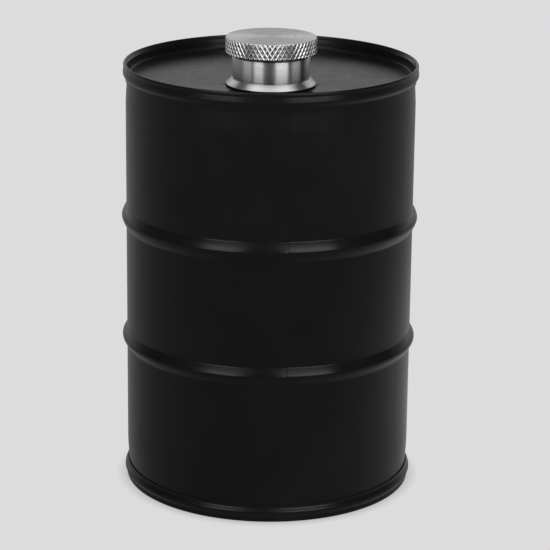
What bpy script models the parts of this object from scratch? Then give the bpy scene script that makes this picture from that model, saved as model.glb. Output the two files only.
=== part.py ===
"""A small black steel drum with rolling hoops, double-seamed chimes and a screw-capped steel neck.

Metres, +Z up. The origin is the centre of the ring that the drum stands on. The neck is set off-centre
towards -Y. A cross-section is a list of (radius, height) points, turned about the piece's own axis.
"""

import math

import bmesh
import bpy

MM = 0.001
FULL_TURN = 2 * math.pi

# Driving dimensions
WALL_RADIUS = 44.6 * MM
DRUM_HEIGHT = 133.4 * MM
SHEET = 0.45 * MM
SEAM_GAP = 0.1 * MM
DRUM_SEGMENTS = 48
NECK_SEGMENTS = 40

# Rolling hoops, pressed outwards from the side wall: a round crest between two bulging flanks. A flank
# leans most at its foot and least at its shoulder, where the crest begins.
HOOP_HEIGHTS = (85.3 * MM, 46.6 * MM)
HOOP_SHOULDER_DEG = (17, 26)
HOOP_FOOT_DEG = 36
HOOP_RISE = 1.42 * MM
HOOP_CREST_RADIUS = 1.6 * MM
HOOP_FILLET_RADIUS = 0.8 * MM

# Chimes. Depths are measured from the drum's end face towards its middle.
TOP_LIP_RADIUS = 44.87 * MM
BOTTOM_LIP_RADIUS = 44.42 * MM
LIP_HALF_WIDTH = 0.46 * MM
LIP_FLAT = 0.2 * MM
LIP_ROUND = 0.45 * MM
CHIME_RADIUS = WALL_RADIUS + 0.84 * MM
CHIME_DEPTH = 5.3 * MM
TURN_IN_DEPTH = 3.3 * MM
TURN_IN_RADIUS = 2.1 * MM
TURN_IN_DEG = 48
SEAM_RADIUS = WALL_RADIUS + 0.15 * MM
SEAM_DEPTH = 2.3 * MM
HEAD_DEPTH = 4.05 * MM
HEAD_WALL_RADIUS = 43.88 * MM
HEAD_FILLET = 0.95 * MM
COMPOUND_HEIGHT = 0.4 * MM
NECK_IN = 0.31 * MM

# Neck, on its own axis
NECK_Y = -13.35 * MM
HEAD_TOP = DRUM_HEIGHT - HEAD_DEPTH
GASKET_THICKNESS = 0.3 * MM
PART_GAP = 0.05 * MM
FOOT_BOTTOM = HEAD_TOP + GASKET_THICKNESS + 2 * PART_GAP
FOOT_RADIUS = 13.65 * MM
FOOT_HEIGHT = 1.75 * MM
COLLAR_RADIUS = 11.75 * MM
COLLAR_TOP = 138.55 * MM
COLLAR_BOTTOM = 123.9 * MM
SPIGOT_RADIUS = 11.2 * MM
SPIGOT_CLEARANCE = 0.15 * MM
BORE_RADIUS = 9.7 * MM
MOUTH_RADIUS = 10.65 * MM
WASHER_RADIUS = 14.2 * MM
WASHER_THICKNESS = 0.85 * MM
NUT_ACROSS_FLATS = 27 * MM
NUT_HEIGHT = 3.2 * MM

# Screw thread between the cap's plug and the collar: right-handed, with a rounded section
THREAD_PITCH = 2.0 * MM
THREAD_BOTTOM = 131.6 * MM
THREAD_TURNS = 2.9
RIDGE_WIRE = 0.72 * MM
GROOVE_WIRE = 0.95 * MM
GROOVE_CENTRE = BORE_RADIUS - 0.15 * MM
GROOVE_LEAD = 0.25
HELIX_STEPS = 24

# Cap
CAP_RADIUS = 13.75 * MM
CAP_BOTTOM = 139.23 * MM
CAP_TOP = 143.96 * MM
CAP_CHAMFER = 0.2 * MM
KNURL_COUNT = 59
KNURL_DEPTH = 0.35 * MM
KNURL_HALF_ROWS = 4
SEAL_POCKET_RADIUS = 12.3 * MM
SEAL_POCKET_TOP = 140.35 * MM
PLUG_SOCKET_RADIUS = 8.75 * MM
PLUG_SOCKET_TOP = 142.8 * MM
PLUG_RADIUS = 9.4 * MM
PLUG_BOTTOM = 130.15 * MM
PLUG_HOLLOW_RADIUS = 7.7 * MM
PLUG_HOLLOW_TOP = 139.0 * MM


def clear_scene():
    for obj in list(bpy.data.objects):
        bpy.data.objects.remove(obj)


def new_collection(name):
    collection = bpy.data.collections.new(name)
    bpy.context.scene.collection.children.link(collection)
    return collection


def material(name, colour, roughness, metallic):
    made = bpy.data.materials.new(name)
    made.use_nodes = True
    shader = made.node_tree.nodes["Principled BSDF"]
    shader.inputs["Base Color"].default_value = (*colour, 1)
    shader.inputs["Roughness"].default_value = roughness
    shader.inputs["Metallic"].default_value = metallic
    return made


def arc(centre_r, centre_z, radius, start_deg, end_deg, steps):
    """Points on a round stretch of a cross-section, both ends included."""
    points = []
    for i in range(steps + 1):
        angle = math.radians(start_deg + (end_deg - start_deg) * i / steps)
        points.append((centre_r + radius * math.cos(angle), centre_z + radius * math.sin(angle)))
    return points


def ring(inner, outer, bottom, top):
    """The cross-section of a plain ring."""
    return [(inner, top), (outer, top), (outer, bottom), (inner, bottom)]


def helper(obj):
    """Marks a cutter or a shape that a Boolean joins, so that it is no piece of its own."""
    obj.hide_render = True
    obj.display_type = "WIRE"
    return obj


def boolean(obj, other, operation):
    modifier = obj.modifiers.new(operation.lower(), "BOOLEAN")
    modifier.operation = operation
    modifier.solver = "EXACT"
    modifier.object = other


def turned(name, section, segments, finish, collection, y=0.0):
    """A turned piece: its cross-section at +X, swept round by a Screw modifier.

    The section runs down its outer side. It is a closed loop, unless both its ends are on the axis.
    """
    mesh = bpy.data.meshes.new(name)
    edges = [(i, i + 1) for i in range(len(section) - 1)]
    if section[0][0] > 0:
        edges.append((len(section) - 1, 0))
    mesh.from_pydata([(r, 0, z) for r, z in section], edges, [])
    obj = bpy.data.objects.new(name, mesh)
    obj.location.y = y
    mesh.materials.append(finish)
    collection.objects.link(obj)
    screw = obj.modifiers.new("turn", "SCREW")
    screw.angle = FULL_TURN
    screw.steps = segments
    screw.render_steps = segments
    screw.use_merge_vertices = True
    screw.merge_threshold = 0.00001
    screw.use_smooth_shade = True
    return obj


def prism(name, radius, bottom, top, sides, collection, y=0.0):
    """An upright prism, or a cylinder when it has many sides."""
    mesh = bpy.data.meshes.new(name)
    shape = bmesh.new()
    bmesh.ops.create_cone(
        shape, cap_ends=True, segments=sides, radius1=radius, radius2=radius, depth=top - bottom
    )
    shape.to_mesh(mesh)
    shape.free()
    obj = bpy.data.objects.new(name, mesh)
    obj.location = (0, y, (top + bottom) / 2)
    collection.objects.link(obj)
    return obj


def helix(name, centre_radius, wire, start_turn, end_turn, collection):
    """A round wire along the thread's helix on the neck's axis, as a closed mesh."""
    curve = bpy.data.curves.new(name, "CURVE")
    curve.dimensions = "3D"
    curve.bevel_depth = wire
    curve.bevel_resolution = 1
    curve.use_fill_caps = True
    steps = round((end_turn - start_turn) * HELIX_STEPS)
    spline = curve.splines.new("POLY")
    spline.points.add(steps)
    for i, point in enumerate(spline.points):
        turn = start_turn + (end_turn - start_turn) * i / steps
        angle = turn * FULL_TURN
        height = THREAD_BOTTOM + turn * THREAD_PITCH
        point.co = (centre_radius * math.cos(angle), centre_radius * math.sin(angle), height, 1)
    source = bpy.data.objects.new(name + "_line", curve)
    source.location.y = NECK_Y
    collection.objects.link(source)
    bpy.context.view_layer.update()
    mesh = bpy.data.meshes.new_from_object(source.evaluated_get(bpy.context.evaluated_depsgraph_get()))
    shape = bmesh.new()
    shape.from_mesh(mesh)
    bmesh.ops.remove_doubles(shape, verts=shape.verts, dist=0.00001)
    bmesh.ops.recalc_face_normals(shape, faces=shape.faces)
    shape.to_mesh(mesh)
    shape.free()
    obj = bpy.data.objects.new(name, mesh)
    obj.matrix_world = source.matrix_world
    collection.objects.link(obj)
    bpy.data.objects.remove(source)
    return helper(obj)


def wall_end():
    """The side wall's outer face near one end, as (radius, depth): the seamed edge, then the neck-in."""
    edge = SEAM_DEPTH + COMPOUND_HEIGHT + 2 * SEAM_GAP
    neck = WALL_RADIUS - NECK_IN
    return [
        (SEAM_RADIUS, edge),
        (SEAM_RADIUS, CHIME_DEPTH - 1.7 * MM),
        (neck, CHIME_DEPTH),
        (neck, CHIME_DEPTH + 1.0 * MM),
        (WALL_RADIUS, CHIME_DEPTH + 6.5 * MM),
    ]


def hoop(height, shoulder_deg):
    """One rolling hoop's outer face, from top to bottom: fillet, flank, crest, flank and fillet."""
    foot, shoulder = math.radians(HOOP_FOOT_DEG), math.radians(shoulder_deg)
    fillet_rise = HOOP_FILLET_RADIUS * (1 - math.cos(foot))
    crest_rise = HOOP_CREST_RADIUS * (1 - math.cos(shoulder))
    flank_radius = (HOOP_RISE - fillet_rise - crest_rise) / (math.cos(shoulder) - math.cos(foot))
    crest_r = WALL_RADIUS + HOOP_RISE - HOOP_CREST_RADIUS
    flank_r = crest_r - (flank_radius - HOOP_CREST_RADIUS) * math.cos(shoulder)
    flank_z = (flank_radius - HOOP_CREST_RADIUS) * math.sin(shoulder)
    fillet_r = WALL_RADIUS + HOOP_FILLET_RADIUS
    fillet_z = (flank_radius + HOOP_FILLET_RADIUS) * math.sin(foot) - flank_z
    fillet = arc(fillet_r, fillet_z, HOOP_FILLET_RADIUS, 180, 180 + HOOP_FOOT_DEG, 1)
    flank = arc(flank_r, -flank_z, flank_radius, HOOP_FOOT_DEG, shoulder_deg, 2)
    crest = arc(crest_r, 0, HOOP_CREST_RADIUS, shoulder_deg, 0, 1)
    upper = fillet[:-1] + flank[:-1] + crest
    lower = [(r, -z) for r, z in reversed(upper[:-1])]
    return [(r, height + z) for r, z in upper + lower]


def side_wall_section():
    outer = [(r, DRUM_HEIGHT - depth) for r, depth in wall_end()]
    for height, shoulder_deg in zip(HOOP_HEIGHTS, HOOP_SHOULDER_DEG):
        outer += hoop(height, shoulder_deg)
    outer += reversed(wall_end())
    inner = [(r - SHEET, z) for r, z in reversed(outer)]
    return outer + inner


def head_section(lip_radius):
    """A drum head as (radius, depth): the recessed disc, the wall round it, the lip folded over the seam and
    the skirt, which widens under the lip and turns in again below. The slot between that wall and the skirt
    holds the side wall's edge."""
    slot_outer = SEAM_RADIUS + SEAM_GAP
    slot_inner = SEAM_RADIUS - SHEET - SEAM_GAP
    fillet_r = HEAD_WALL_RADIUS - HEAD_FILLET
    fillet = arc(fillet_r, HEAD_DEPTH - HEAD_FILLET, HEAD_FILLET, 90, 0, 2)
    lip = [
        (HEAD_WALL_RADIUS, 1.2 * MM),
        (lip_radius - LIP_HALF_WIDTH, LIP_ROUND),
        (lip_radius - LIP_FLAT, 0),
        (lip_radius + LIP_FLAT, 0),
        (lip_radius + LIP_HALF_WIDTH, LIP_ROUND),
        (lip_radius + LIP_HALF_WIDTH, LIP_ROUND + 0.25 * MM),
    ]
    turn_in = arc(CHIME_RADIUS - TURN_IN_RADIUS, TURN_IN_DEPTH, TURN_IN_RADIUS, 0, TURN_IN_DEG, 3)
    skirt = [
        (lip_radius + 0.35 * MM, 1.3 * MM),
        (CHIME_RADIUS - 0.03 * MM, 2.9 * MM),
        *turn_in,
        (turn_in[-1][0] - 0.08 * MM, CHIME_DEPTH),
    ]
    slot = [
        (slot_outer - 0.4 * MM, CHIME_DEPTH),
        (slot_outer, CHIME_DEPTH - 1.5 * MM),
        (slot_outer, SEAM_DEPTH),
        (slot_inner, SEAM_DEPTH),
        (slot_inner, HEAD_DEPTH - 0.6 * MM),
        (slot_inner - 0.3 * MM, HEAD_DEPTH + 0.1 * MM),
    ]
    disc_under = HEAD_DEPTH + SHEET
    return [(0, HEAD_DEPTH), *fillet, *lip, *skirt, *slot, (fillet_r + 0.3 * MM, disc_under), (0, disc_under)]


def compound_section():
    """The bead of sealing compound between the side wall's edge and the end of the head's slot."""
    inner = SEAM_RADIUS - SHEET
    near = SEAM_DEPTH + SEAM_GAP
    return ring(inner, SEAM_RADIUS, near + COMPOUND_HEIGHT, near)


def from_top(section):
    return [(r, DRUM_HEIGHT - depth) for r, depth in section]


def from_bottom(section):
    return [(r, depth) for r, depth in reversed(section)]


def collar_section():
    """The turned neck: a mouth with a lead-in, a straight collar, a conical foot and a spigot below it."""
    edge = 0.3 * MM
    foot_top = FOOT_BOTTOM + FOOT_HEIGHT
    return [
        (MOUTH_RADIUS, COLLAR_TOP),
        (COLLAR_RADIUS - edge, COLLAR_TOP),
        (COLLAR_RADIUS, COLLAR_TOP - edge),
        (COLLAR_RADIUS, foot_top + 0.15 * MM),
        (COLLAR_RADIUS + 0.2 * MM, foot_top - 0.1 * MM),
        (FOOT_RADIUS, FOOT_BOTTOM + 0.15 * MM),
        (FOOT_RADIUS - 0.15 * MM, FOOT_BOTTOM),
        (SPIGOT_RADIUS, FOOT_BOTTOM),
        (SPIGOT_RADIUS, COLLAR_BOTTOM + edge),
        (SPIGOT_RADIUS - edge, COLLAR_BOTTOM),
        (BORE_RADIUS, COLLAR_BOTTOM),
        (BORE_RADIUS, COLLAR_TOP - 1.5 * MM),
        (MOUTH_RADIUS, COLLAR_TOP - 0.6 * MM),
    ]


def knurl_height(row):
    """The height of one of the levels at which the knurl's crossing grooves meet."""
    bottom = CAP_BOTTOM + CAP_CHAMFER
    top = CAP_TOP - CAP_CHAMFER
    return bottom + (top - bottom) * row / KNURL_HALF_ROWS


def cap_head_section():
    """The turned head, with a pocket for the seal and a socket for the plug underneath."""
    flat = CAP_RADIUS - CAP_CHAMFER
    return [
        (0, CAP_TOP),
        (flat, CAP_TOP),
        *[(CAP_RADIUS, knurl_height(row)) for row in range(KNURL_HALF_ROWS, -1, -1)],
        (flat, CAP_BOTTOM),
        (SEAL_POCKET_RADIUS, CAP_BOTTOM),
        (SEAL_POCKET_RADIUS, SEAL_POCKET_TOP),
        (PLUG_SOCKET_RADIUS, SEAL_POCKET_TOP),
        (PLUG_SOCKET_RADIUS, PLUG_SOCKET_TOP),
        (0, PLUG_SOCKET_TOP),
    ]


def plug_section():
    """The hollow plug, open at the bottom, whose top is pressed into the cap's socket."""
    edge = 0.35 * MM
    shoulder = SEAL_POCKET_TOP - SEAM_GAP
    socket = PLUG_SOCKET_RADIUS - SEAM_GAP
    return [
        (0, PLUG_SOCKET_TOP - SEAM_GAP),
        (socket, PLUG_SOCKET_TOP - SEAM_GAP),
        (socket, shoulder),
        (PLUG_RADIUS, shoulder),
        (PLUG_RADIUS, PLUG_BOTTOM + edge),
        (PLUG_RADIUS - edge, PLUG_BOTTOM),
        (PLUG_HOLLOW_RADIUS, PLUG_BOTTOM),
        (PLUG_HOLLOW_RADIUS, PLUG_HOLLOW_TOP),
        (0, PLUG_HOLLOW_TOP),
    ]


def knurl(blank, collection):
    """A copy of the turned head with its side knurled: on the side's grid of points, every other one stays
    out as the tip of a pyramid, and those between drop to where two grooves cross."""
    mesh = bpy.data.meshes.new_from_object(blank.evaluated_get(bpy.context.evaluated_depsgraph_get()))
    level_height = knurl_height(1) - knurl_height(0)
    groove_scale = 1 - KNURL_DEPTH / CAP_RADIUS
    for vertex in mesh.vertices:
        x, y, z = vertex.co
        if math.hypot(x, y) < CAP_RADIUS - CAP_CHAMFER / 2:
            continue
        column = round(math.atan2(y, x) / FULL_TURN * 2 * KNURL_COUNT)
        level = round((z - knurl_height(0)) / level_height)
        if (column + level) % 2:
            vertex.co = (x * groove_scale, y * groove_scale, z)
    knurled = bpy.data.objects.new("cap_head", mesh)
    knurled.matrix_world = blank.matrix_world
    collection.objects.link(knurled)
    bpy.data.objects.remove(blank)
    facets = knurled.modifiers.new("facets", "TRIANGULATE")
    facets.quad_method = "SHORTEST_DIAGONAL"
    mesh.set_sharp_from_angle(angle=math.radians(30))


def make_drum(pieces, cutters, finishes):
    paint = finishes["black_enamel"]
    compound = finishes["seam_compound"]
    turned("side_wall", side_wall_section(), DRUM_SEGMENTS, paint, pieces)
    top = turned("top_head", from_top(head_section(TOP_LIP_RADIUS)), DRUM_SEGMENTS, paint, pieces)
    hole_radius = SPIGOT_RADIUS + SPIGOT_CLEARANCE
    reach = 5 * SHEET
    hole = prism(
        "neck_hole", hole_radius, HEAD_TOP - reach, HEAD_TOP + reach, NECK_SEGMENTS, cutters, NECK_Y
    )
    boolean(top, helper(hole), "DIFFERENCE")
    turned("bottom_head", from_bottom(head_section(BOTTOM_LIP_RADIUS)), DRUM_SEGMENTS, paint, pieces)
    turned("top_seam_compound", from_top(compound_section()), DRUM_SEGMENTS, compound, pieces)
    turned("bottom_seam_compound", from_bottom(compound_section()), DRUM_SEGMENTS, compound, pieces)


def make_neck(pieces, cutters, finishes):
    steel = finishes["bare_steel"]
    collar = turned("neck_collar", collar_section(), NECK_SEGMENTS, steel, pieces, NECK_Y)
    mouth_turn = (COLLAR_TOP + GROOVE_WIRE - THREAD_BOTTOM) / THREAD_PITCH + GROOVE_LEAD
    groove = helix("thread_groove", GROOVE_CENTRE, GROOVE_WIRE, -GROOVE_LEAD, mouth_turn, cutters)
    boolean(collar, groove, "DIFFERENCE")
    hole = SPIGOT_RADIUS + SPIGOT_CLEARANCE
    gasket_bottom = HEAD_TOP + PART_GAP
    gasket = ring(hole, FOOT_RADIUS - 0.35 * MM, gasket_bottom, gasket_bottom + GASKET_THICKNESS)
    turned("neck_gasket", gasket, NECK_SEGMENTS, finishes["black_rubber"], pieces, NECK_Y)
    washer_top = HEAD_TOP - SHEET - SEAM_GAP
    washer_bottom = washer_top - WASHER_THICKNESS
    washer = ring(hole, WASHER_RADIUS, washer_bottom, washer_top)
    turned("neck_washer", washer, NECK_SEGMENTS, finishes["black_rubber"], pieces, NECK_Y)
    nut_top = washer_bottom - SEAM_GAP
    nut_bottom = nut_top - NUT_HEIGHT
    corner_radius = NUT_ACROSS_FLATS / 2 / math.cos(math.pi / 6)
    nut = prism("neck_nut", corner_radius, nut_bottom, nut_top, 6, pieces, NECK_Y)
    nut.data.materials.append(steel)
    thread_hole = prism("nut_bore", hole, nut_bottom - MM, nut_top + MM, NECK_SEGMENTS, cutters, NECK_Y)
    boolean(nut, helper(thread_hole), "DIFFERENCE")


def make_cap(pieces, cutters, finishes):
    steel = finishes["bare_steel"]
    blank = turned("cap_blank", cap_head_section(), 2 * KNURL_COUNT, steel, pieces, NECK_Y)
    bpy.context.view_layer.update()
    knurl(blank, pieces)
    plug = turned("cap_plug", plug_section(), NECK_SEGMENTS, finishes["plug_plastic"], pieces, NECK_Y)
    ridge = helix("thread_ridge", PLUG_RADIUS, RIDGE_WIRE, 0, THREAD_TURNS, cutters)
    boolean(plug, ridge, "UNION")
    seal_inner = PLUG_RADIUS + 4 * SEAM_GAP
    seal_outer = SEAL_POCKET_RADIUS - SEAM_GAP
    seal = ring(seal_inner, seal_outer, COLLAR_TOP + SEAM_GAP, SEAL_POCKET_TOP - SEAM_GAP)
    turned("cap_seal", seal, NECK_SEGMENTS, finishes["black_rubber"], pieces, NECK_Y)


def main():
    clear_scene()
    pieces = new_collection("steel_drum")
    cutters = new_collection("cutters")
    finishes = {
        "black_enamel": material("black_enamel", (0.012, 0.012, 0.013), 0.35, 0.0),
        "bare_steel": material("bare_steel", (0.60, 0.60, 0.61), 0.3, 1.0),
        "black_rubber": material("black_rubber", (0.015, 0.015, 0.015), 0.7, 0.0),
        "plug_plastic": material("plug_plastic", (0.03, 0.03, 0.032), 0.45, 0.0),
        "seam_compound": material("seam_compound", (0.12, 0.12, 0.12), 0.8, 0.0),
    }
    make_drum(pieces, cutters, finishes)
    make_neck(pieces, cutters, finishes)
    make_cap(pieces, cutters, finishes)


main()
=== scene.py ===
import math

import bmesh
import bpy
import numpy as np
from mathutils import Matrix, Vector


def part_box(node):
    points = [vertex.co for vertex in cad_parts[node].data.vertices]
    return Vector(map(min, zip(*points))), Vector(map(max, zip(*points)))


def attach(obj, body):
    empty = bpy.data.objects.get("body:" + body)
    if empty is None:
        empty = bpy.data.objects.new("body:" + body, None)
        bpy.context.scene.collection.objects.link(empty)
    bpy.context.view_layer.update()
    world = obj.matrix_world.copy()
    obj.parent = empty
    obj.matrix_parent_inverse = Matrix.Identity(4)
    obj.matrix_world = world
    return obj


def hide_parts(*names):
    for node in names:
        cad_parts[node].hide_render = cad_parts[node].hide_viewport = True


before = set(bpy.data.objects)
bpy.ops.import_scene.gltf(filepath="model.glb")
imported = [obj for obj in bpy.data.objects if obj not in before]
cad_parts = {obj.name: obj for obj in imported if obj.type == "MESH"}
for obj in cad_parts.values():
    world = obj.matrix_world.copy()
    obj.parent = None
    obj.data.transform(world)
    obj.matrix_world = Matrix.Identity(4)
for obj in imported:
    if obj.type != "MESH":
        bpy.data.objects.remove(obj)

MM = 0.001
FULL_TURN = 2 * math.pi
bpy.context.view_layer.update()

# Where the CAD says things are
wall_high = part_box("side_wall")[1]
head_low, head_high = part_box("top_head")
collar_low, collar_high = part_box("neck_collar")
nut_low, nut_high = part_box("neck_nut")
cap_low, cap_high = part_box("cap_head")
plug_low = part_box("cap_plug")[0]
seal_low, seal_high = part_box("cap_seal")

DRUM_TOP = head_high.z
CREST_RADIUS = wall_high.x
CHIME_RADIUS = head_high.x
CHIME_DEPTH = head_high.z - head_low.z
NECK_Y = (cap_low.y + cap_high.y) / 2
CAP_RADIUS = cap_high.x
CAP_TOP, CAP_BOTTOM = cap_high.z, cap_low.z
FOOT_RADIUS = collar_high.x
COLLAR_TOP, COLLAR_BOTTOM = collar_high.z, collar_low.z

# The drum, mostly as in the CAD
HOOP_RISE = 1.42 * MM
WALL_RADIUS = CREST_RADIUS - HOOP_RISE
SHEET = 0.45 * MM
SEAM_GAP = 0.1 * MM
SEAM_RADIUS = WALL_RADIUS + 0.15 * MM
SEAM_DEPTH = 2.3 * MM
SEAM_END_DEPTH = CHIME_DEPTH - 1.7 * MM
SIDE_EDGE_DEPTH = DRUM_TOP - wall_high.z
NECK_IN = 0.31 * MM
HOOP_HEIGHTS = (85.3 * MM, 46.6 * MM)
HOOP_SHOULDER_DEG = (17, 26)
HOOP_FOOT_DEG = 36
HOOP_CREST_RADIUS = 1.6 * MM
HOOP_FILLET_RADIUS = 0.8 * MM
TOP_LIP_RADIUS = 44.87 * MM
BOTTOM_LIP_RADIUS = 44.42 * MM
LIP_ROUND = 0.46 * MM
BEAD_DEPTH = 2.9 * MM
BEAD_ROUND = 1.5 * MM
HEAD_DEPTH = 4.05 * MM
HEAD_WALL_RADIUS = 43.88 * MM
HEAD_FILLET = 0.95 * MM
COMPOUND_EDGE = 0.08 * MM

# The side wall's weld
WELD_ANGLE = math.radians(-83)
WELD_DEPTH = 0.012 * MM
WELD_WIDTH = 0.28 * MM
WELD_STEP = 0.22 * MM
WELD_STEP_FADES = 14 * MM
WELD_ENDS = 7 * MM
WELD_POINTS = 12
WELD_SPACING = 0.12 * MM

# The neck
COLLAR_RADIUS = 11.75 * MM
COLLAR_EDGE = 0.4 * MM
SMALL_EDGE = 0.2 * MM
UNDERCUT = 0.22 * MM
FOOT_BOTTOM = 129.75 * MM
FOOT_HEIGHT = 1.75 * MM
SPIGOT_RADIUS = 11.2 * MM
HOLE_RADIUS = 11.35 * MM
NUT_CHAMFER = 0.9 * MM
NUT_EDGE = 0.3 * MM
BORE_RADIUS = 9.7 * MM
MOUTH_RADIUS = 10.65 * MM

# The thread: a right-handed helix on the neck's axis
THREAD_PITCH = 2.0 * MM
THREAD_BOTTOM = 131.6 * MM
THREAD_TURNS = 2.9
RIDGE_WIRE = 0.72 * MM
GROOVE_WIRE = 0.95 * MM
GROOVE_CENTRE = BORE_RADIUS - 0.15 * MM
GROOVE_LEAD = 0.25
GROOVE_RUNOUT = 0.1
RIDGE_RUNOUT = 0.12
THREAD_BORE_BOTTOM = THREAD_BOTTOM - 1.2 * MM

# The cap. The knurl's crest and flank are in half diamonds.
KNURL_COUNT = 59
KNURL_STEPS = 4
KNURL_LEVEL = 140.0 * MM
KNURL_HALF_ROW = 1.2 * MM
KNURL_DEPTH = 0.19 * MM
KNURL_CREST = 0.1
KNURL_FLANK = 0.4
CAP_EDGE = 0.2 * MM
SEAL_POCKET_RADIUS = 12.3 * MM
SEAL_POCKET_TOP = 140.35 * MM
PLUG_SOCKET_RADIUS = 8.75 * MM
PLUG_SOCKET_TOP = 142.8 * MM
PLUG_RADIUS = 9.4 * MM
PLUG_EDGE = 0.35 * MM
PLUG_HOLLOW_RADIUS = 7.7 * MM
PLUG_HOLLOW_TOP = 139.0 * MM

# How finely things are divided
DRUM_SEGMENTS = 288
HEAD_SEGMENTS = 240
NECK_SEGMENTS = 192
RING_SEGMENTS = 144
WALL_STEP = 2.5 * MM
FINE_STEP = 0.12 * MM
ON_AXIS = 1e-9
TINY = 0.01 * MM

# The stage
BACKDROP = (0.716, 0.716, 0.716)
CONTACT_SHADOW = (0.50, 0.50, 0.495)
GLOW_PATCH = (0.12, 0.05, 0)
LIGHTS_FACE = Vector((0, 0, 0.08))
BOX_DISTANCE = 0.62
CAMERA_PLACE = Vector((0, -0.71969, 0.28170))
CAMERA_PITCH_DEG = 16.743
CAMERA_YAW_DEG = 0.152
CAMERA_ROLL_DEG = 0.630
LENS = 156.3


# ---- Shapes ----

def arc(centre_r, centre_z, radius, start_deg, end_deg, steps):
    """Points (r, z) along an arc, both ends included."""
    points = []
    for i in range(steps + 1):
        angle = math.radians(start_deg + (end_deg - start_deg) * i / steps)
        points.append((centre_r + radius * math.cos(angle), centre_z + radius * math.sin(angle)))
    return points


def flowing(points, steps):
    """A smooth curve through the points: a Catmull-Rom spline with steps pieces between two points."""
    p = [np.array(q, float) for q in points]
    p = [2 * p[0] - p[1], *p, 2 * p[-1] - p[-2]]
    curve = []
    for a, b, c, d in zip(p, p[1:], p[2:], p[3:]):
        for i in range(steps):
            t = i / steps
            curve.append(tuple(0.5 * (2 * b + (c - a) * t + (2 * a - 5 * b + 4 * c - d) * t**2
                                      + (3 * b - a - 3 * c + d) * t**3)))
    return [*curve, tuple(p[-2])]


def divided(points, step):
    """The same line with no piece longer than step."""
    line = [points[0]]
    for (r, z), (next_r, next_z) in zip(points, points[1:]):
        across, up = next_r - r, next_z - z
        pieces = max(1, math.ceil(math.hypot(across, up) / step - 1e-6))
        line += [(r + across * i / pieces, z + up * i / pieces) for i in range(1, pieces + 1)]
    return line


def from_top(section):
    """Turns (radius, depth) points into (radius, height) ones."""
    return [(r, DRUM_TOP - depth) for r, depth in section]


def rounded_ring(inner, outer, low, high, edge, steps=3):
    """The section of a ring with rounded edges, anticlockwise."""
    return [
        *arc(outer - edge, high - edge, edge, 0, 90, steps),
        *arc(inner + edge, high - edge, edge, 90, 180, steps),
        *arc(inner + edge, low + edge, edge, 180, 270, steps),
        *arc(outer - edge, low + edge, edge, 270, 360, steps),
    ]


def even_angles(segments):
    return np.arange(segments) * FULL_TURN / segments


def lathe(name, section, angles, finish, y=0.0, moved=None, split=None, crease_deg=28):
    """A closed body made by turning a section of (radius, height) points round the axis at y.
    moved(r, z, angle) gives each point's new (r, z). split(points, corners) is True where a quad is cut from
    its lower left corner to its upper right one, False for the other diagonal, and None where it stays."""
    count = len(angles)
    rows, points = [], []
    for r, z in section:
        if r < ON_AXIS:
            rows.append(np.full(count, len(points)))
            points.append((0, y, z))
            continue
        radii, heights = np.full(count, r), np.full(count, z)
        if moved:
            radii, heights = moved(radii, heights, angles)
        rows.append(np.arange(count) + len(points))
        points += list(zip(radii * np.cos(angles), radii * np.sin(angles) + y, heights))
    pairs = list(zip(rows, rows[1:]))
    if section[0][0] > ON_AXIS:
        pairs.append((rows[-1], rows[0]))
    faces = []
    for upper, lower in pairs:
        for i in range(count):
            j = (i + 1) % count
            corners = [int(v) for v in (upper[i], lower[i], lower[j], upper[j])]
            ring = list(dict.fromkeys(corners))
            if len(ring) < 3:
                continue
            rising = split(points, corners) if split and len(ring) == 4 else None
            if rising is None:
                faces.append(ring)
            elif rising:
                faces += [[ring[1], ring[2], ring[3]], [ring[1], ring[3], ring[0]]]
            else:
                faces += [[ring[0], ring[1], ring[2]], [ring[0], ring[2], ring[3]]]
    mesh = bpy.data.meshes.new(name)
    mesh.from_pydata(points, [], faces)
    shape = bmesh.new()
    shape.from_mesh(mesh)
    bmesh.ops.recalc_face_normals(shape, faces=shape.faces)
    shape.to_mesh(mesh)
    shape.free()
    mesh.polygons.foreach_set("use_smooth", [True] * len(mesh.polygons))
    mesh.set_sharp_from_angle(angle=math.radians(crease_deg))
    mesh.materials.append(finish)
    piece = bpy.data.objects.new(name, mesh)
    bpy.context.scene.collection.objects.link(piece)
    return piece


def cut(piece, cutter):
    """Takes cutter away from piece, and removes the cutter."""
    modifier = piece.modifiers.new("cut", "BOOLEAN")
    modifier.operation = "DIFFERENCE"
    modifier.solver = "EXACT"
    modifier.object = cutter
    bpy.context.view_layer.update()
    cut_mesh = bpy.data.meshes.new_from_object(piece.evaluated_get(bpy.context.evaluated_depsgraph_get()))
    piece.modifiers.clear()
    piece.data = cut_mesh
    piece.data.name = piece.name
    bpy.data.objects.remove(cutter)


def smooth_step(x):
    """Rises smoothly from 0 to 1 while x does."""
    x = np.clip(x, 0, 1)
    return x * x * (3 - 2 * x)


# ---- Material nodes ----

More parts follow.
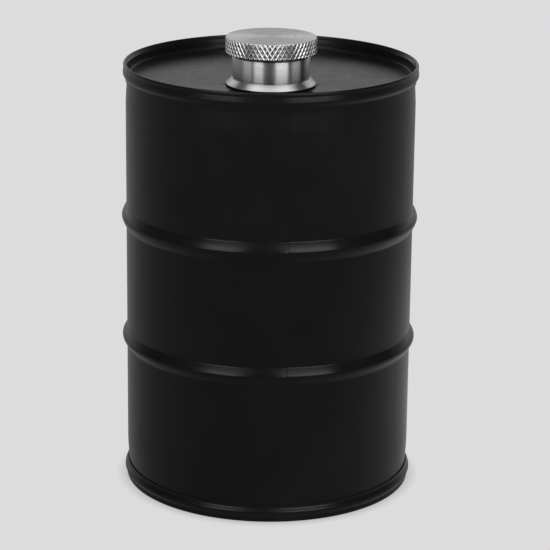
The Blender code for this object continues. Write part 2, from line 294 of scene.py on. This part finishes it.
class Nodes:
    """Adds nodes to one material or world and links them."""

    def __init__(self, owner):
        self.owner = owner
        owner.use_nodes = True
        self.tree = owner.node_tree

    def add(self, kind, inputs=None, **settings):
        node = self.tree.nodes.new(kind)
        for key, value in settings.items():
            setattr(node, key, value)
        for key, value in (inputs or {}).items():
            self.set(node.inputs[key], value)
        return node

    def set(self, socket, value):
        if isinstance(value, bpy.types.NodeSocket):
            self.tree.links.new(value, socket)
        else:
            socket.default_value = value

    def math(self, operation, a, b):
        return self.add("ShaderNodeMath", {0: a, 1: b}, operation=operation).outputs[0]

    def vector_math(self, operation, *vectors):
        return self.add("ShaderNodeVectorMath", dict(enumerate(vectors)), operation=operation).outputs

    def place(self):
        return self.add("ShaderNodeTexCoord").outputs["Object"]

    def scaled(self, vector, scale):
        return self.vector_math("MULTIPLY", vector, scale)[0]

    def shifted(self, vector, by):
        return self.vector_math("SUBTRACT", vector, by)[0]

    def distance_from_axis(self, vector):
        return self.vector_math("LENGTH", self.scaled(vector, (1, 1, 0)))["Value"]

    def axes(self, vector):
        return self.add("ShaderNodeSeparateXYZ", {0: vector}).outputs

    def noise(self, vector, scale, detail=2.0, rough=0.5):
        inputs = {"Vector": vector, "Scale": scale, "Detail": detail, "Roughness": rough}
        return self.add("ShaderNodeTexNoise", inputs).outputs["Fac"]

    def turned_lines(self, place, round_scale, scale, detail, rough=0.5):
        """Noise drawn out into circles round the axis."""
        inputs = {"Vector": self.scaled(place, (round_scale, round_scale, scale)), "Scale": 1.0, "Detail": detail,
                  "W": self.math("MULTIPLY", self.distance_from_axis(place), scale), "Roughness": rough}
        return self.add("ShaderNodeTexNoise", inputs, noise_dimensions="4D").outputs["Fac"]

    def spread(self, value, low, high, from_low=0.3, from_high=0.7):
        """Maps a value, usually a noise, to a range, held at its ends."""
        return self.add("ShaderNodeMapRange", {"Value": value, "From Min": from_low, "From Max": from_high,
                                               "To Min": low, "To Max": high}).outputs["Result"]

    def colours(self, value, low, high):
        """Mixes two colours. The node's colour sockets share their names with others, so they go by number."""
        return self.add("ShaderNodeMix", {0: value, 6: (*low, 1), 7: (*high, 1)}, data_type="RGBA").outputs[2]

    def greys(self, value, low, high):
        return self.colours(value, (low,) * 3, (high,) * 3)

    def bump(self, height, distance, normal=None):
        node = self.add("ShaderNodeBump", {"Height": height, "Distance": distance, "Strength": 1.0})
        if normal:
            self.set(node.inputs["Normal"], normal)
        return node.outputs["Normal"]

    def finish(self, **inputs):
        """Sets the shader's sockets and gives the finished material."""
        shader = self.tree.nodes["Principled BSDF"]
        for key, value in inputs.items():
            self.set(shader.inputs[key.replace("_", " ")], value)
        return self.owner

    def seen_and_given(self, given, seen, output):
        """Shows the camera one surface, and everything else another."""
        camera_ray = self.add("ShaderNodeLightPath").outputs["Is Camera Ray"]
        mixed = self.add("ShaderNodeMixShader", {0: camera_ray, 1: given.outputs[0], 2: seen.outputs[0]})
        self.set(output.inputs["Surface"], mixed.outputs[0])


def new_material(name):
    return Nodes(bpy.data.materials.new(name))


def black_enamel():
    """Black powder coat: fine grain over a slight orange peel, smoother where hands rub the hoops and the
    chimes."""
    n = new_material("black_enamel")
    place = n.place()
    peel = n.noise(place, 900, 1.5)
    grain = n.noise(place, 5200, 2.0)
    cloud = n.noise(place, 45, 3.0, 0.6)
    streaks = n.noise(n.scaled(place, (420, 420, 26)), 1.0, 3.0)
    radius = n.distance_from_axis(place)
    handled = n.spread(radius, 0.0, -0.04, WALL_RADIUS + 0.6 * MM, CREST_RADIUS)
    rough = n.math("ADD", n.spread(cloud, 0.235, 0.285), n.spread(streaks, -0.015, 0.02))
    rough = n.math("ADD", rough, handled)
    colour = n.colours(n.spread(cloud, 0.0, 1.0), (0.0085, 0.0085, 0.0087), (0.0115, 0.0115, 0.0118))
    normal = n.bump(peel, 0.0035 * MM)
    normal = n.bump(grain, 0.0012 * MM, normal)
    return n.finish(Base_Color=colour, Roughness=rough, Specular_IOR_Level=0.22, Normal=normal)


def turned_steel(name, low, high, rough_low, rough_high, anisotropy, knurl=None):
    """Stainless steel turned on the neck's axis, between two greys, with fine circular lines that stretch its
    highlights across them. knurl is the radius of a knurl's ridges and its depth: painted shade darkens the
    steel's colour down between the ridges and on the cap's lower chamfer."""
    n = new_material(name)
    place = n.shifted(n.place(), (0, NECK_Y, 0))
    lines = n.turned_lines(place, 90, 5200, 3.0, 0.6)
    broad = n.turned_lines(place, 70, 1500, 2.0)
    smudge = n.noise(place, 160, 3.0)
    colour = n.greys(n.spread(broad, 0.0, 1.0), low, high)
    if knurl:
        crest, depth = knurl
        radius = n.distance_from_axis(place)
        # Painted shade: the colour falls to 0.4 of itself about one knurl depth below the ridges, in the pits and on
        # the lower chamfer, but not on the top chamfer.
        sunk = n.math("MULTIPLY", n.spread(radius, 1.0, 0.0, crest - 0.9 * depth, crest - 0.1 * depth),
                      n.spread(radius, 0.0, 1.0, crest - 1.5 * depth, crest - 1.1 * depth))
        shade_below_top = n.spread(n.axes(place)["Z"], 1.0, 0.0, CAP_TOP - 0.3 * MM, CAP_TOP - 0.2 * MM)
        sunk = n.math("MULTIPLY", sunk, shade_below_top)
        colour = n.scaled(colour, n.spread(sunk, 1.0, 0.4, 0.0, 1.0))
    rough = n.math("ADD", n.spread(lines, rough_low, rough_high), n.spread(smudge, -0.02, 0.03))
    normal = n.bump(lines, 0.0015 * MM)
    normal = n.bump(broad, 0.002 * MM, normal)
    tangent = n.add("ShaderNodeTangent", direction_type="RADIAL", axis="Z").outputs["Tangent"]
    return n.finish(Base_Color=colour, Metallic=1.0, Roughness=rough, Anisotropic=anisotropy,
                    Anisotropic_Rotation=0.25, Normal=normal, Tangent=tangent)


def black_rubber():
    """Matt black rubber with a fine grain and a faint pale bloom."""
    n = new_material("black_rubber")
    place = n.place()
    grain = n.noise(place, 4200, 3.0)
    bloom = n.noise(place, 260, 3.0)
    colour = n.colours(n.spread(bloom, 0.0, 1.0), (0.010, 0.010, 0.010), (0.022, 0.022, 0.021))
    normal = n.bump(grain, 0.006 * MM)
    return n.finish(Base_Color=colour, Roughness=n.spread(grain, 0.62, 0.82), Normal=normal)


def plug_plastic():
    """Black moulded plastic, with flow marks drawn out along the plug."""
    n = new_material("plug_plastic")
    place = n.shifted(n.place(), (0, NECK_Y, 0))
    grain = n.noise(place, 3000, 2.0)
    flow = n.noise(n.scaled(place, (60, 60, 420)), 1.0, 3.0)
    colour = n.colours(n.spread(flow, 0.0, 1.0), (0.017, 0.017, 0.018), (0.026, 0.026, 0.028))
    normal = n.bump(grain, 0.003 * MM)
    return n.finish(Base_Color=colour, Roughness=n.spread(flow, 0.36, 0.48), Normal=normal)


def seam_compound():
    """Dull grey sealing compound, slightly lumpy."""
    n = new_material("seam_compound")
    place = n.place()
    lumps = n.noise(place, 700, 4.0)
    colour = n.colours(n.spread(lumps, 0.0, 1.0), (0.09, 0.09, 0.085), (0.15, 0.15, 0.14))
    return n.finish(Base_Color=colour, Roughness=n.spread(lumps, 0.7, 0.9), Normal=n.bump(lumps, 0.02 * MM))


# ---- The drum ----

def hoop(height, shoulder_deg):
    """One rolling hoop's outer face, top to bottom: fillet, bulging flank, round crest, flank and fillet."""
    foot, shoulder = math.radians(HOOP_FOOT_DEG), math.radians(shoulder_deg)
    fillet_rise = HOOP_FILLET_RADIUS * (1 - math.cos(foot))
    crest_rise = HOOP_CREST_RADIUS * (1 - math.cos(shoulder))
    flank_radius = (HOOP_RISE - fillet_rise - crest_rise) / (math.cos(shoulder) - math.cos(foot))
    crest_r = CREST_RADIUS - HOOP_CREST_RADIUS
    flank_r = crest_r - (flank_radius - HOOP_CREST_RADIUS) * math.cos(shoulder)
    flank_z = (flank_radius - HOOP_CREST_RADIUS) * math.sin(shoulder)
    fillet_z = (flank_radius + HOOP_FILLET_RADIUS) * math.sin(foot) - flank_z
    fillet = arc(WALL_RADIUS + HOOP_FILLET_RADIUS, fillet_z, HOOP_FILLET_RADIUS, 180, 180 + HOOP_FOOT_DEG, 6)
    flank = arc(flank_r, -flank_z, flank_radius, HOOP_FOOT_DEG, shoulder_deg, 8)
    crest = arc(crest_r, 0, HOOP_CREST_RADIUS, shoulder_deg, 0, 6)
    upper = fillet[:-1] + flank[:-1] + crest
    lower = [(r, -z) for r, z in reversed(upper[:-1])]
    return [(r, height + z) for r, z in upper + lower]


def wall_end():
    """The side wall's outer face near one end, as (radius, depth)."""
    neck = WALL_RADIUS - NECK_IN
    edge = [(SEAM_RADIUS, SIDE_EDGE_DEPTH), (SEAM_RADIUS, SEAM_END_DEPTH)]
    neck_in = flowing([
        (neck, CHIME_DEPTH),
        (neck, CHIME_DEPTH + 1.0 * MM),
        (WALL_RADIUS - 0.12 * MM, CHIME_DEPTH + 4.2 * MM),
        (WALL_RADIUS, CHIME_DEPTH + 6.5 * MM),
    ], 4)
    return edge + neck_in


def past_weld(angle):
    """How far round the wall an angle is from the weld, negative before it."""
    return ((angle - WELD_ANGLE + math.pi) % FULL_TURN - math.pi) * WALL_RADIUS


def welded(r, z, angle):
    """The weld is a fine sunk line, and the hoops' ends meet there slightly out of line."""
    past = past_weld(angle)
    line = WELD_DEPTH * np.exp(-(past / WELD_WIDTH) ** 2)
    above, below = z - WELD_ENDS, DRUM_TOP - WELD_ENDS - z
    between_ends = smooth_step(above / (2 * MM)) * smooth_step(below / (2 * MM))
    near_hoop = sum(np.exp(-((z - height) / (4 * MM)) ** 4) for height in HOOP_HEIGHTS)
    step = np.where(past > 0, WELD_STEP * np.exp(-past / WELD_STEP_FADES), 0) * near_hoop
    return r - line * between_ends, z + step


def side_wall():
    outer = from_top(wall_end())
    for height, shoulder_deg in zip(HOOP_HEIGHTS, HOOP_SHOULDER_DEG):
        outer += hoop(height, shoulder_deg)
    outer += wall_end()[::-1]
    outer = divided(outer, WALL_STEP)
    inner = [(r - SHEET, z) for r, z in outer[::-1]]
    fine = WELD_ANGLE + np.arange(-WELD_POINTS, WELD_POINTS + 1) * WELD_SPACING / WALL_RADIUS
    coarse = even_angles(DRUM_SEGMENTS)
    coarse = coarse[np.abs(past_weld(coarse)) > 1.6 * MM]
    angles = np.sort(np.concatenate([coarse, fine % FULL_TURN]))
    return lathe("rolled_side_wall", outer + inner, angles, FINISH["black_enamel"], moved=welded)


def head_section(lip_radius):
    """A head's section as (radius, depth): disc, fillet, inner wall, rolled lip, skirt and the seam's slot."""
    slot_outer = SEAM_RADIUS + SEAM_GAP
    slot_inner = SEAM_RADIUS - SHEET - SEAM_GAP
    fillet_r = HEAD_WALL_RADIUS - HEAD_FILLET
    fillet = arc(fillet_r, HEAD_DEPTH - HEAD_FILLET, HEAD_FILLET, 90, 0, 8)
    lip_inner = [
        (HEAD_WALL_RADIUS, 1.35 * MM),
        (HEAD_WALL_RADIUS + 0.1 * MM, 1.05 * MM),
        (lip_radius - LIP_ROUND - 0.1 * MM, 0.62 * MM),
    ]
    lip = arc(lip_radius, LIP_ROUND, LIP_ROUND, 180, 360, 12)
    bead = arc(CHIME_RADIUS - BEAD_ROUND, BEAD_DEPTH, BEAD_ROUND, 0, 38, 8)
    skirt = flowing([
        lip[-1],
        (lip_radius + LIP_ROUND, LIP_ROUND + 0.25 * MM),
        (lip_radius + 0.35 * MM, 1.25 * MM),
        (lip_radius + 0.37 * MM, 1.45 * MM),
        (CHIME_RADIUS - 0.03 * MM, 2.6 * MM),
        bead[0],
    ], 5)
    turn_in = flowing([
        bead[-1],
        (CHIME_RADIUS - 0.6 * MM, 4.2 * MM),
        (CHIME_RADIUS - 0.76 * MM, 4.55 * MM),
        (CHIME_RADIUS - 0.8 * MM, 4.9 * MM),
        (CHIME_RADIUS - 0.8 * MM, CHIME_DEPTH),
    ], 4)
    slot = [
        (slot_outer - 0.43 * MM, CHIME_DEPTH),
        (slot_outer - 0.21 * MM, CHIME_DEPTH - 1.0 * MM),
        (slot_outer, SEAM_END_DEPTH),
        (slot_outer, SEAM_DEPTH),
        (slot_inner, SEAM_DEPTH),
        (slot_inner, HEAD_DEPTH - 0.6 * MM),
        (slot_inner - 0.3 * MM, HEAD_DEPTH + 0.1 * MM),
    ]
    under = HEAD_DEPTH + SHEET
    disc = [(0, HEAD_DEPTH), *[(fillet_r * i / 6, HEAD_DEPTH) for i in range(1, 6)]]
    back = [(fillet_r + 0.3 * MM, under), (0, under)]
    return disc + fillet + lip_inner + lip + skirt[1:] + bead[1:-1] + turn_in + slot + back


def top_head():
    """The top head, with a hole for the neck."""
    section = from_top(head_section(TOP_LIP_RADIUS))
    piece = lathe("pressed_top_head", section, even_angles(HEAD_SEGMENTS), FINISH["black_enamel"])
    above, under = head_high.z, head_low.z - 2 * MM
    hole = [(0, above), (HOLE_RADIUS, above), (HOLE_RADIUS, under), (0, under)]
    cut(piece, lathe("hole", hole, even_angles(128), FINISH["black_enamel"], NECK_Y))
    return piece


def bottom_head():
    section = head_section(BOTTOM_LIP_RADIUS)
    return lathe("pressed_bottom_head", section, even_angles(HEAD_SEGMENTS), FINISH["black_enamel"])


def compound(name, node):
    """The bead of sealing compound in one seam."""
    low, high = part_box(node)
    section = rounded_ring(SEAM_RADIUS - SHEET, high.x, low.z, high.z, COMPOUND_EDGE)
    return lathe(name, section, even_angles(160), FINISH["seam_compound"])


# ---- The neck ----

def helix_turn(z, angle):
    """The thread's nearest turn to a point, and the point's height above it."""
    share = (angle % FULL_TURN) / FULL_TURN
    turn = share + np.round((z - THREAD_BOTTOM) / THREAD_PITCH - share)
    return turn, z - THREAD_BOTTOM - turn * THREAD_PITCH


def groove(r, z, angle):
    """Sinks the thread's groove into the bore."""
    turn, above = helix_turn(z, angle)
    wire = np.sqrt(np.clip(GROOVE_WIRE**2 - above**2, 0, None))
    depth = np.clip(GROOVE_CENTRE + wire - r, 0, None) * smooth_step((turn + GROOVE_LEAD) / GROOVE_RUNOUT)
    in_bore = (r < MOUTH_RADIUS + TINY) & (z > THREAD_BORE_BOTTOM)
    return np.where(in_bore, r + depth, r), z


def ridge(r, z, angle):
    """Raises the thread's ridge on the plug, run out at both ends."""
    turn, above = helix_turn(z, angle)
    wire = np.sqrt(np.clip(RIDGE_WIRE**2 - above**2, 0, None))
    runout = smooth_step(turn / RIDGE_RUNOUT) * smooth_step((THREAD_TURNS - turn) / RIDGE_RUNOUT)
    on_side = np.abs(r - PLUG_RADIUS) < TINY
    return np.where(on_side, r + wire * runout, r), z


def collar():
    """The turned neck: a chamfered collar, an undercut, a conical foot, a spigot and a threaded bore."""
    foot_top = FOOT_BOTTOM + FOOT_HEIGHT
    cone = [(COLLAR_RADIUS + 0.12 * MM, foot_top - 0.02 * MM), (FOOT_RADIUS - 0.02 * MM, FOOT_BOTTOM + 0.18 * MM)]
    outside = [
        (COLLAR_RADIUS - COLLAR_EDGE, COLLAR_TOP),
        (COLLAR_RADIUS - 0.05 * MM, COLLAR_TOP - COLLAR_EDGE + 0.05 * MM),
        (COLLAR_RADIUS, COLLAR_TOP - COLLAR_EDGE - 0.05 * MM),
        (COLLAR_RADIUS, foot_top + 0.45 * MM),
        (COLLAR_RADIUS - UNDERCUT, foot_top + 0.3 * MM),
        (COLLAR_RADIUS - UNDERCUT, foot_top + 0.05 * MM),
        (COLLAR_RADIUS + 0.08 * MM, foot_top),
        *divided(cone, FINE_STEP),
        (FOOT_RADIUS, FOOT_BOTTOM + 0.15 * MM),
        (FOOT_RADIUS, FOOT_BOTTOM + 0.08 * MM),
        (FOOT_RADIUS - 0.08 * MM, FOOT_BOTTOM),
        (SPIGOT_RADIUS, FOOT_BOTTOM),
        (SPIGOT_RADIUS, COLLAR_BOTTOM + SMALL_EDGE),
        (SPIGOT_RADIUS - SMALL_EDGE, COLLAR_BOTTOM),
        (BORE_RADIUS + SMALL_EDGE, COLLAR_BOTTOM),
        (BORE_RADIUS, COLLAR_BOTTOM + SMALL_EDGE),
    ]
    bore = divided([
        (BORE_RADIUS, THREAD_BORE_BOTTOM),
        (BORE_RADIUS, COLLAR_TOP - 1.5 * MM),
        (MOUTH_RADIUS, COLLAR_TOP - 0.6 * MM),
        (MOUTH_RADIUS, COLLAR_TOP - 0.15 * MM),
    ], 0.13 * MM)
    section = [*outside, *bore, (MOUTH_RADIUS + 0.15 * MM, COLLAR_TOP)]
    return lathe("turned_neck", section, even_angles(NECK_SEGMENTS), FINISH["collar_steel"], NECK_Y, moved=groove)


def rubber_ring(name, node, edge):
    """A flat rubber ring with the head's hole in it."""
    low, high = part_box(node)
    section = rounded_ring(HOLE_RADIUS, high.x, low.z, high.z, edge)
    return lathe(name, section, even_angles(RING_SEGMENTS), FINISH["black_rubber"], NECK_Y)


def nut():
    """A hexagonal nut, chamfered on its corners."""
    along_x, along_y = nut_high.x, nut_high.y - NECK_Y
    flat = min(along_x, along_y)
    corner = flat / math.cos(math.pi / 6)
    first_corner = 0.0 if along_x > along_y else math.pi / 6
    section = [
        *divided([
            (HOLE_RADIUS + NUT_EDGE, nut_high.z),
            (flat * 0.97, nut_high.z),
            (corner, nut_high.z - NUT_CHAMFER),
        ], NUT_EDGE),
        *divided([(corner, nut_low.z + NUT_CHAMFER), (flat * 0.97, nut_low.z)], NUT_EDGE),
        (HOLE_RADIUS + NUT_EDGE, nut_low.z),
        (HOLE_RADIUS, nut_low.z + NUT_EDGE),
        (HOLE_RADIUS, nut_high.z - NUT_EDGE),
    ]

    def hexagon(r, z, angle):
        across = (angle - first_corner) % (math.pi / 3) - math.pi / 6
        return np.minimum(r, flat / np.cos(across)), z

    return lathe("hex_nut", section, even_angles(RING_SEGMENTS), FINISH["collar_steel"], NECK_Y, moved=hexagon)


# ---- The cap ----

def knurl_place(z, angle):
    """A point on the knurl in half diamonds: how far it is from the nearest ridge of each hand, 0 to 1."""
    across = angle / FULL_TURN * 2 * KNURL_COUNT
    up = (z - KNURL_LEVEL) / KNURL_HALF_ROW
    first, second = across + up, across - up
    return np.abs(first % 2 - 1), np.abs(second % 2 - 1)


def knurled(r, z, angle):
    """Two crossing sets of ridges on the cap's side with sunk diamonds between, under its edges' chamfers."""
    first, second = knurl_place(z, angle)
    height = np.clip(1 - (np.minimum(first, second) - KNURL_CREST) / KNURL_FLANK, 0, 1)
    limit = np.minimum(CAP_RADIUS, CAP_RADIUS - CAP_EDGE + (CAP_TOP - z))
    limit = np.minimum(limit, CAP_RADIUS - CAP_EDGE + (z - CAP_BOTTOM))
    side = np.minimum(CAP_RADIUS - KNURL_DEPTH * (1 - height), limit)
    return np.where(r > CAP_RADIUS - CAP_EDGE - TINY, side, r), z


def knurl_split(points, corners):
    """Cuts each small quad of the knurl along the ridge that is nearest to it."""
    corner = [points[i] for i in corners]
    x, y, z = (sum(axis) / 4 for axis in zip(*corner))
    inside = math.hypot(x, y - NECK_Y) < CAP_RADIUS - CAP_EDGE - 0.15 * MM
    level = corner[0][2] - corner[1][2] < 2 * TINY
    if inside or level:
        return None
    first, second = knurl_place(z, math.atan2(y - NECK_Y, x))
    return bool(first > second)


def cap_head():
    """The cap's knurled head, with a pocket for the seal and a socket for the plug underneath."""
    step = KNURL_HALF_ROW / KNURL_STEPS
    first_row = math.ceil((CAP_BOTTOM - KNURL_LEVEL) / step + 0.2)
    last_row = math.floor((CAP_TOP - KNURL_LEVEL) / step - 0.2)
    side = [(CAP_RADIUS, KNURL_LEVEL + step * i) for i in range(last_row, first_row - 1, -1)]
    flat = CAP_RADIUS - CAP_EDGE
    section = [
        (0, CAP_TOP),
        *[(flat * i / 5, CAP_TOP) for i in range(1, 5)],
        (flat - 0.7 * MM, CAP_TOP),
        (flat, CAP_TOP),
        *side,
        (flat, CAP_BOTTOM),
        (flat - 0.7 * MM, CAP_BOTTOM),
        (SEAL_POCKET_RADIUS + SMALL_EDGE, CAP_BOTTOM),
        (SEAL_POCKET_RADIUS, CAP_BOTTOM + SMALL_EDGE),
        (SEAL_POCKET_RADIUS, SEAL_POCKET_TOP),
        (PLUG_SOCKET_RADIUS, SEAL_POCKET_TOP),
        (PLUG_SOCKET_RADIUS, PLUG_SOCKET_TOP),
        (0, PLUG_SOCKET_TOP),
    ]
    angles = even_angles(2 * KNURL_COUNT * KNURL_STEPS)
    return lathe("knurled_cap", section, angles, FINISH["cap_steel"], NECK_Y,
                 moved=knurled, split=knurl_split, crease_deg=20)


def plug():
    """The threaded plug, hollow and open at the bottom."""
    edge = PLUG_EDGE
    shoulder = SEAL_POCKET_TOP - SEAM_GAP
    socket = PLUG_SOCKET_RADIUS - SEAM_GAP
    top = PLUG_SOCKET_TOP - SEAM_GAP
    bottom = plug_low.z
    side = divided([(PLUG_RADIUS, shoulder), (PLUG_RADIUS, bottom + edge)], FINE_STEP)
    section = [
        (0, top),
        (socket - 0.3 * MM, top),
        (socket, top - 0.3 * MM),
        (socket, shoulder),
        *side,
        *arc(PLUG_RADIUS - edge, bottom + edge, edge, 0, -90, 4)[1:],
        *arc(PLUG_HOLLOW_RADIUS + edge, bottom + edge, edge, 270, 180, 4),
        *arc(PLUG_HOLLOW_RADIUS - edge, PLUG_HOLLOW_TOP - edge, edge, 0, 90, 4),
        (0, PLUG_HOLLOW_TOP),
    ]
    return lathe("threaded_plug", section, even_angles(NECK_SEGMENTS), FINISH["plug_plastic"], NECK_Y, moved=ridge)


def seal_ring():
    """The rubber ring between the cap and the collar's end."""
    inner = PLUG_RADIUS + 4 * SEAM_GAP
    section = rounded_ring(inner, seal_high.x, seal_low.z, seal_high.z, 0.35 * MM, 5)
    return lathe("seal_ring", section, even_angles(RING_SEGMENTS), FINISH["black_rubber"], NECK_Y)


# ---- Stage, light and camera ----

def stage():
    """A pale floor that meets its background without an edge, with a soft shadow where the drum stands."""
    mesh = bpy.data.meshes.new("floor")
    shape = bmesh.new()
    bmesh.ops.create_circle(shape, cap_ends=True, radius=4, segments=64)
    shape.to_mesh(mesh)
    shape.free()
    floor = bpy.data.objects.new("floor", mesh)
    floor.location.z = -0.02 * MM
    bpy.context.scene.collection.objects.link(floor)
    n = new_material("floor")
    place = n.place()
    open_sky = n.add("ShaderNodeAmbientOcclusion", {"Distance": 0.004}, samples=16).outputs["AO"]
    seen_colour = n.colours(n.spread(open_sky, 0, 1, 0.35, 0.98), CONTACT_SHADOW, BACKDROP)
    # Painted light: for every ray but the camera's the floor glows, dim in front, brighter behind and brightest in a
    # glowing patch to the drum's right; this is what the drum reflects and is lit by.
    direction = n.vector_math("NORMALIZE", n.scaled(place, (1, 1, 0)))[0]
    behind = n.spread(n.axes(direction)["Y"], 0.0, 1.0, -0.9, 0.8)
    from_patch = n.vector_math("DISTANCE", place, GLOW_PATCH)["Value"]
    patch = n.greys(n.spread(from_patch, 1.0, 0.0, 0.02, 0.20), 0, 0.2)
    seen = n.add("ShaderNodeEmission", {"Color": seen_colour})
    floor_glow = n.add("ShaderNodeEmission", {"Color": n.greys(behind, 0.16, 0.36)})
    patch_glow = n.add("ShaderNodeEmission", {"Color": patch})
    given = n.add("ShaderNodeAddShader", {0: floor_glow.outputs[0], 1: patch_glow.outputs[0]})
    n.seen_and_given(given, seen, n.tree.nodes["Material Output"])
    mesh.materials.append(n.owner)


def surroundings():
    """What the drum reflects: a backdrop behind it that is bright low down, and a dark room in front."""
    world = bpy.data.worlds.new("studio")
    bpy.context.scene.world = world
    n = Nodes(world)
    n.tree.nodes.clear()
    direction = n.add("ShaderNodeTexCoord").outputs["Generated"]
    parts = n.axes(direction)
    behind = n.spread(parts["Y"], 0.0, 1.0, 0.35, 0.8)
    low = n.spread(parts["Z"], 1.0, 0.12, 0.12, 0.45)
    given = n.add("ShaderNodeBackground", {"Color": n.greys(n.math("MULTIPLY", behind, low), 0.035, 0.80)})
    seen = n.add("ShaderNodeBackground", {"Color": (*BACKDROP, 1)})
    n.seen_and_given(given, seen, n.add("ShaderNodeOutputWorld"))


def soft_light(name, azimuth_deg, elevation_deg, distance, width, height, radiance, lights_only=None):
    """A soft box that faces the drum. Azimuth is from the camera's side, and positive to the right. lights_only
    is the collection that it lights, when it doesn't light everything."""
    azimuth, elevation = math.radians(azimuth_deg), math.radians(elevation_deg)
    level = math.cos(elevation)
    away = Vector((math.sin(azimuth) * level, -math.cos(azimuth) * level, math.sin(elevation)))
    data = bpy.data.lights.new(name, "AREA")
    data.shape = "RECTANGLE"
    data.size, data.size_y = width, height
    data.energy = radiance * math.pi * width * height
    light = bpy.data.objects.new(name, data)
    light.location = LIGHTS_FACE + away * distance
    light.rotation_euler = away.to_track_quat("Z", "Y").to_euler()
    light.visible_camera = False
    light.light_linking.receiver_collection = lights_only
    bpy.context.scene.collection.objects.link(light)


def only(name, pieces):
    """The pieces that a light falls on, when it doesn't fall on everything."""
    lit = bpy.data.collections.new(name)
    for piece in pieces:
        lit.objects.link(piece)
    return lit


def lights(neck, cap):
    """Soft boxes in front, each with a dimmer one above it, and one overhead. The boxes at the sides and low in
    front light only the steel, and those behind and the ceiling box only the neck."""
    steel = only("lit_steel", [neck, cap])
    neck_only = only("lit_neck", [neck])
    for side, azimuth, width, radiance in (("left", -36, 0.29, 3.0), ("right", 31.5, 0.39, 3.3)):
        soft_light(side + "_soft_box", azimuth, 20, BOX_DISTANCE, width, 0.26, radiance)
        soft_light(side + "_soft_box_top", azimuth, 40, BOX_DISTANCE, width, 0.17, radiance * 0.42)
    soft_light("overhead_soft_box", 0, 86, 0.50, 0.50, 0.40, 1.1)
    soft_light("ceiling_box", 0, 76, 0.50, 0.80, 0.42, 1.9, neck_only)
    for side, azimuth in (("left", -138), ("right", 138)):
        soft_light(side + "_rear_box", azimuth, 30, BOX_DISTANCE, 0.30, 0.26, 0.9, neck_only)
    soft_light("low_front_box", 0, -1, 0.60, 0.90, 0.12, 0.8, steel)
    for name, azimuth, width, radiance in (
            ("left_side_box", -72, 0.32, 1.2), ("left_far_box", -103, 0.36, 0.5), ("right_side_box", 78, 0.32, 1.0)):
        soft_light(name, azimuth, 22, BOX_DISTANCE, width, 0.40, radiance, steel)


def camera():
    """A long lens, aimed about seventeen degrees down at the drum."""
    pitch, yaw, roll = (math.radians(deg) for deg in (CAMERA_PITCH_DEG, CAMERA_YAW_DEG, CAMERA_ROLL_DEG))
    forward = Vector((math.sin(yaw) * math.cos(pitch), math.cos(yaw) * math.cos(pitch), -math.sin(pitch)))
    right = forward.cross(Vector((0, 0, 1))).normalized()
    up = right.cross(forward)
    right, up = math.cos(roll) * right + math.sin(roll) * up, math.cos(roll) * up - math.sin(roll) * right
    data = bpy.data.cameras.new("camera")
    data.sensor_width = 36
    data.lens = LENS
    data.clip_start = 0.01
    view = bpy.data.objects.new("camera", data)
    turn = Matrix((right, up, -forward)).transposed()
    view.matrix_world = Matrix.LocRotScale(CAMERA_PLACE, turn, None)
    bpy.context.scene.collection.objects.link(view)
    bpy.context.scene.camera = view


FINISH = {
    "black_enamel": black_enamel(),
    "collar_steel": turned_steel("turned_steel", 0.36, 0.46, 0.28, 0.36, 0.9),
    "cap_steel": turned_steel("satin_steel", 0.70, 0.78, 0.26, 0.36, 0.6, knurl=(CAP_RADIUS, KNURL_DEPTH)),
    "black_rubber": black_rubber(),
    "plug_plastic": plug_plastic(),
    "seam_compound": seam_compound(),
}

# Each piece, the body it rides on, the CAD node it replaces and a slot name, which nothing here reads
PIECES = [
    (side_wall(), "drum", "side_wall", "black_enamel"),
    (top_head(), "drum", "top_head", "black_enamel"),
    (bottom_head(), "drum", "bottom_head", "black_enamel"),
    (compound("top_seam_bead", "top_seam_compound"), "drum", "top_seam_compound", "seam_compound"),
    (compound("bottom_seam_bead", "bottom_seam_compound"), "drum", "bottom_seam_compound", "seam_compound"),
    (collar(), "drum", "neck_collar", "bare_steel"),
    (rubber_ring("foot_gasket", "neck_gasket", 0.15 * MM), "drum", "neck_gasket", "black_rubber"),
    (rubber_ring("inner_washer", "neck_washer", 0.2 * MM), "drum", "neck_washer", "black_rubber"),
    (nut(), "drum", "neck_nut", "bare_steel"),
    (cap_head(), "cap", "cap_head", "bare_steel"),
    (plug(), "cap", "cap_plug", "plug_plastic"),
    (seal_ring(), "seal", "cap_seal", "black_rubber"),
]
for piece, body, node, slot in PIECES:
    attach(piece, body)
    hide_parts(node)

stage()
surroundings()
lights(neck=bpy.data.objects["turned_neck"], cap=bpy.data.objects["knurled_cap"])
camera()
bpy.context.scene.view_settings.view_transform = "Standard"
